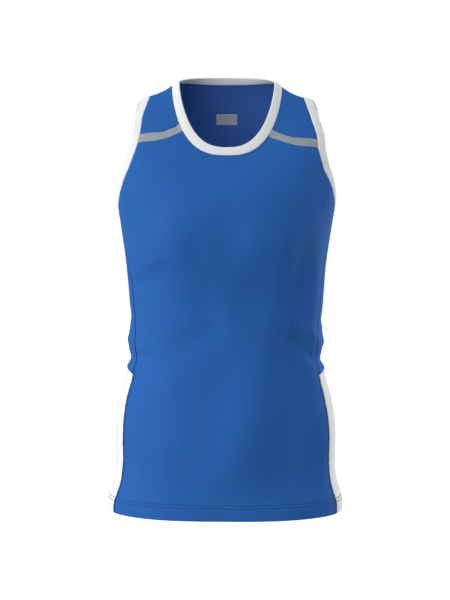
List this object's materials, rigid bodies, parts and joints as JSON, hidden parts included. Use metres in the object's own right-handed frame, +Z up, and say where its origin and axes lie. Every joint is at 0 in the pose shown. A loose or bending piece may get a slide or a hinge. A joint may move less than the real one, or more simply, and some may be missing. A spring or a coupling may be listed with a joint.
{
  "type": "sleeveless running top",
  "caption": "Sleeveless fitted running top with a round neck, bound edges, shoulder tapes and pale lower side panels, filled out as if worn.",
  "frame": {"origin": "midway between the shoulders, level with the neck end of the shoulder line, where the wearer's shoulders hold the top", "axes": "+Z up along the body from hem to neck, -Y towards the front of the wearer, +X towards the wearer's left"},
  "size_m": [0.3522, 0.239, 0.6509],
  "materials": {
    "blue_cloth": "smooth fine polyester knit, soft sheen",
    "white_cloth": "smooth fine polyester knit, soft sheen",
    "white_rib": "fine rib knit, matt",
    "grey_tape": "smooth silvery grey knit, satin",
    "label_print": "plain grey printed patch, satin"
  },
  "bodies": {
    "root": {"front_panel": "blue_cloth", "back_panel": "blue_cloth", "yoke_left": "blue_cloth", "yoke_right": "blue_cloth", "side_upper_left": "blue_cloth", "side_upper_right": "blue_cloth", "side_lower_left": "white_cloth", "side_lower_right": "white_cloth", "shoulder_tape_left": "grey_tape", "shoulder_tape_right": "grey_tape", "neck_binding": "white_rib", "armhole_binding_left": "white_rib", "armhole_binding_right": "white_rib", "neck_label": "label_print"}
  },
  "joints": []
}
